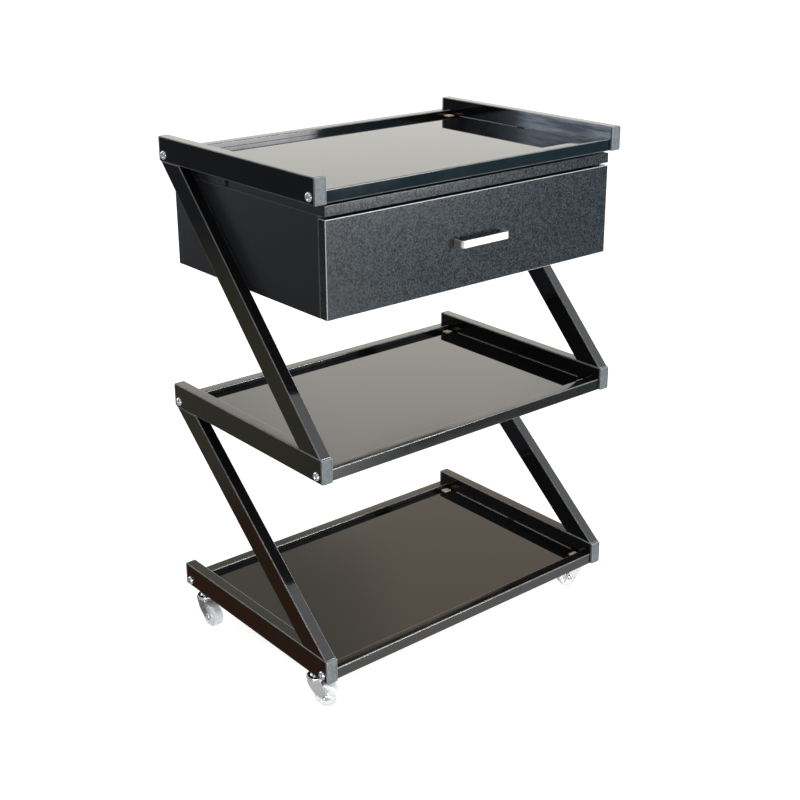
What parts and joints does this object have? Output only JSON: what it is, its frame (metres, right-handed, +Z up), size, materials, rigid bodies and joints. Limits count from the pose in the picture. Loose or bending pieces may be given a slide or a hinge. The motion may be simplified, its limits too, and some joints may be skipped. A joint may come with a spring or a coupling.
{
  "type": "spa trolley cart",
  "caption": "Rolling salon and spa trolley with Z-shaped black tube sides, black glass shelves, a full-width drawer cabinet under the top shelf and swivel casters.",
  "frame": {"origin": "floor level, in the middle of the footprint with the drawer handle included", "axes": "+Z up, +X to the right seen from the drawer side, -Y out of the drawer front; the drawer slides out along -Y"},
  "size_m": [0.634, 0.436, 0.8649],
  "materials": {
    "frame_black": "glossy black powder coat with a faint brown cast",
    "cap_grey": "satin blue-grey moulded plastic",
    "black_glass": "opaque black back-painted glass, mirror gloss",
    "charcoal_board": "dark charcoal melamine on board, fine grain",
    "speckled_front": "charcoal textured melamine with fine pale speckle",
    "drawer_board": "plain dark grey melamine",
    "satin_aluminium": "satin brushed",
    "zinc_steel": "zinc-plated sheet steel",
    "bright_plating": "bright plated pressed steel",
    "pale_nylon": "pale grey moulded nylon"
  },
  "bodies": {
    "frame": {"bar_left_bottom": "frame_black", "bar_left_middle": "frame_black", "bar_left_top": "frame_black", "bar_right_bottom": "frame_black", "bar_right_middle": "frame_black", "bar_right_top": "frame_black", "brace_left_lower": "frame_black", "brace_left_upper": "frame_black", "brace_right_lower": "frame_black", "brace_right_upper": "frame_black", "end_cap_left_bottom_front": "cap_grey", "end_cap_left_bottom_back": "cap_grey", "end_cap_left_middle_front": "cap_grey", "end_cap_left_middle_back": "cap_grey", "end_cap_left_top_front": "cap_grey", "end_cap_left_top_back": "cap_grey", "end_cap_right_bottom_front": "cap_grey", "end_cap_right_bottom_back": "cap_grey", "end_cap_right_middle_front": "cap_grey", "end_cap_right_middle_back": "cap_grey", "end_cap_right_top_front": "cap_grey", "end_cap_right_top_back": "cap_grey", "rail_bottom_front": "frame_black", "rail_bottom_back": "frame_black", "rail_middle_front": "frame_black", "rail_middle_back": "frame_black", "rail_top_front": "frame_black", "rail_top_back": "frame_black", "glass_shelf_bottom": "black_glass", "glass_shelf_middle": "black_glass", "glass_shelf_top": "black_glass", "cabinet_top": "charcoal_board", "cabinet_back": "charcoal_board", "cabinet_bottom": "charcoal_board", "cabinet_side_left": "charcoal_board", "cabinet_side_right": "charcoal_board", "cabinet_bracket_left": "zinc_steel", "cabinet_bracket_right": "zinc_steel", "runner_fixed_left": "zinc_steel", "runner_fixed_right": "zinc_steel", "caster_stem_front_left": "bright_plating", "caster_stem_front_right": "bright_plating", "caster_stem_back_left": "bright_plating", "caster_stem_back_right": "bright_plating"},
    "drawer": {"drawer_front": "speckled_front", "drawer_side_left": "drawer_board", "drawer_side_right": "drawer_board", "drawer_back": "drawer_board", "drawer_bottom": "drawer_board", "drawer_handle": "satin_aluminium", "runner_moving_left": "zinc_steel", "runner_moving_right": "zinc_steel"},
    "fork_front_left": {"caster_fork_front_left": "bright_plating"},
    "fork_front_right": {"caster_fork_front_right": "bright_plating"},
    "fork_back_left": {"caster_fork_back_left": "bright_plating"},
    "fork_back_right": {"caster_fork_back_right": "bright_plating"},
    "wheel_front_left": {"caster_wheel_front_left": "pale_nylon"},
    "wheel_front_right": {"caster_wheel_front_right": "pale_nylon"},
    "wheel_back_left": {"caster_wheel_back_left": "pale_nylon"},
    "wheel_back_right": {"caster_wheel_back_right": "pale_nylon"}
  },
  "joints": [
    {"name": "drawer_slide", "type": "slide", "parent": "frame", "child": "drawer", "axis": [0, -1, 0], "range_m": [0, 0.26]},
    {"name": "front_left_swivel", "type": "hinge", "parent": "frame", "child": "fork_front_left", "pos_m": [-0.302, -0.158, 0.04], "axis": [0, 0, 1], "continuous": true},
    {"name": "front_right_swivel", "type": "hinge", "parent": "frame", "child": "fork_front_right", "pos_m": [0.302, -0.158, 0.04], "axis": [0, 0, 1], "continuous": true},
    {"name": "back_left_swivel", "type": "hinge", "parent": "frame", "child": "fork_back_left", "pos_m": [-0.302, 0.172, 0.04], "axis": [0, 0, 1], "continuous": true},
    {"name": "back_right_swivel", "type": "hinge", "parent": "frame", "child": "fork_back_right", "pos_m": [0.302, 0.172, 0.04], "axis": [0, 0, 1], "continuous": true},
    {"name": "front_left_spin", "type": "hinge", "parent": "fork_front_left", "child": "wheel_front_left", "pos_m": [-0.29004, -0.17277, 0.02], "axis": [0.7771, 0.6293, 0], "continuous": true},
    {"name": "front_right_spin", "type": "hinge", "parent": "fork_front_right", "child": "wheel_front_right", "pos_m": [0.28415, -0.1515, 0.02], "axis": [-0.342, -0.9397, 0], "continuous": true},
    {"name": "back_left_spin", "type": "hinge", "parent": "fork_back_left", "child": "wheel_back_left", "pos_m": [-0.30034, 0.15307, 0.02], "axis": [0.9962, 0.0872, 0], "continuous": true},
    {"name": "back_right_spin", "type": "hinge", "parent": "fork_back_right", "child": "wheel_back_right", "pos_m": [0.2955, 0.15415, 0.02], "axis": [0.9397, -0.342, 0], "continuous": true}
  ]
}
